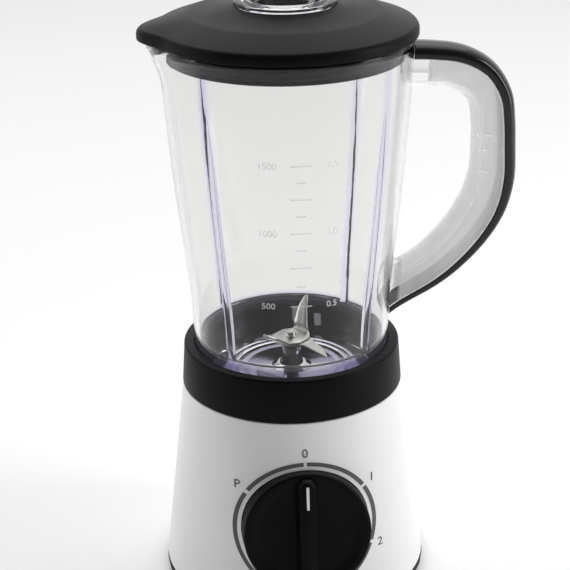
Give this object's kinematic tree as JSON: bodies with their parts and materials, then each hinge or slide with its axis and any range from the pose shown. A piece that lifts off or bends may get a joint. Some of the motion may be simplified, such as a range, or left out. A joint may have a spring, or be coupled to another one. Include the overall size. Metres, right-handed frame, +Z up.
{
  "type": "countertop blender",
  "caption": "Countertop blender: white conical motor base with a dial and black collar, and a clear lidded jar with handle, spout and steel blades.",
  "frame": {"origin": "centre of the bottom plate's underside, on the motor's axis; the rubber feet reach 3 mm below it", "axes": "+Z up along the motor's axis, -Y the front with the dial, +X the side of the jar's handle"},
  "size_m": [0.2157, 0.1689, 0.3726],
  "materials": {
    "white_plastic": "satin white moulding",
    "black_plastic": "satin black moulding",
    "clear_plastic": "clear polished moulding",
    "rubber": "matte",
    "steel": "satin",
    "copper": "enamelled wire and bars",
    "bronze": "sintered",
    "carbon": "matte",
    "board": "solder mask",
    "nylon": "natural"
  },
  "bodies": {
    "base": {"base_housing": "white_plastic", "base_collar": "black_plastic", "bottom_plate": "black_plastic", "foot_1": "rubber", "foot_2": "rubber", "foot_3": "rubber", "foot_4": "rubber", "plate_screw_1": "steel", "plate_screw_2": "steel", "plate_screw_3": "steel", "plate_screw_4": "steel", "cord_gland": "rubber", "rotary_switch": "black_plastic", "motor_stator": "steel", "field_coil_front": "copper", "field_coil_rear": "copper", "upper_bearing": "bronze", "lower_bearing": "bronze", "upper_bracket": "steel", "lower_bracket": "steel", "brush_left": "carbon", "brush_right": "carbon", "brush_holder_left": "bronze", "brush_holder_right": "bronze", "motor_bolt_1": "steel", "motor_bolt_2": "steel", "motor_mount_1": "rubber", "motor_mount_2": "rubber", "motor_mount_3": "rubber", "motor_mount_4": "rubber", "shaft_seal": "rubber", "interlock_spring": "steel", "microswitch": "black_plastic", "circuit_board": "board"},
    "dial": {"control_dial": "black_plastic", "dial_spindle": "nylon"},
    "rotor": {"armature_core": "steel", "armature_winding": "copper", "commutator": "copper", "motor_shaft": "steel", "cooling_fan": "nylon", "drive_coupling": "rubber"},
    "interlock": {"interlock_pin": "nylon"},
    "jar": {"jar_body": "clear_plastic", "handle_cover": "black_plastic", "floor_dish": "steel", "blade_gasket": "rubber", "blade_housing": "steel", "housing_nut": "black_plastic", "upper_bush": "bronze", "lower_bush": "bronze"},
    "blades": {"blade_shaft": "steel", "blade_spacer": "steel", "blade_lower": "steel", "blade_upper": "steel", "blade_nut": "steel", "driven_coupling": "black_plastic"},
    "lid": {"lid": "black_plastic", "lid_gasket": "rubber"},
    "cap": {"filler_cap": "clear_plastic"}
  },
  "joints": [
    {"name": "jar_lift", "type": "slide", "parent": "base", "child": "jar", "axis": [0, 0, 1], "range_m": [0, 0.06]},
    {"name": "lid_lift", "type": "slide", "parent": "jar", "child": "lid", "axis": [0, 0, 1], "range_m": [0, 0.04]},
    {"name": "cap_lift", "type": "slide", "parent": "lid", "child": "cap", "axis": [0, 0, 1], "range_m": [0, 0.035]},
    {"name": "motor_spin", "type": "hinge", "parent": "base", "child": "rotor", "pos_m": [0, 0, 0.068], "axis": [0, 0, 1], "continuous": true},
    {"name": "blade_spin", "type": "hinge", "parent": "jar", "child": "blades", "pos_m": [0, 0, 0.13], "axis": [0, 0, 1], "continuous": true},
    {"name": "dial_turn", "type": "hinge", "parent": "base", "child": "dial", "pos_m": [0, -0.0736, 0.0564], "axis": [0, -0.993, 0.118], "range_deg": [-110, 55]},
    {"name": "interlock_press", "type": "slide", "parent": "base", "child": "interlock", "axis": [0, 0, 1], "range_m": [0, 0.003], "deforming": ["interlock_spring"]}
  ],
  "couplings": [
    {"joint": "blade_spin", "follows": "motor_spin", "ratio": 1},
    {"joint": "interlock_press", "follows": "jar_lift", "ratio": 0.05}
  ]
}
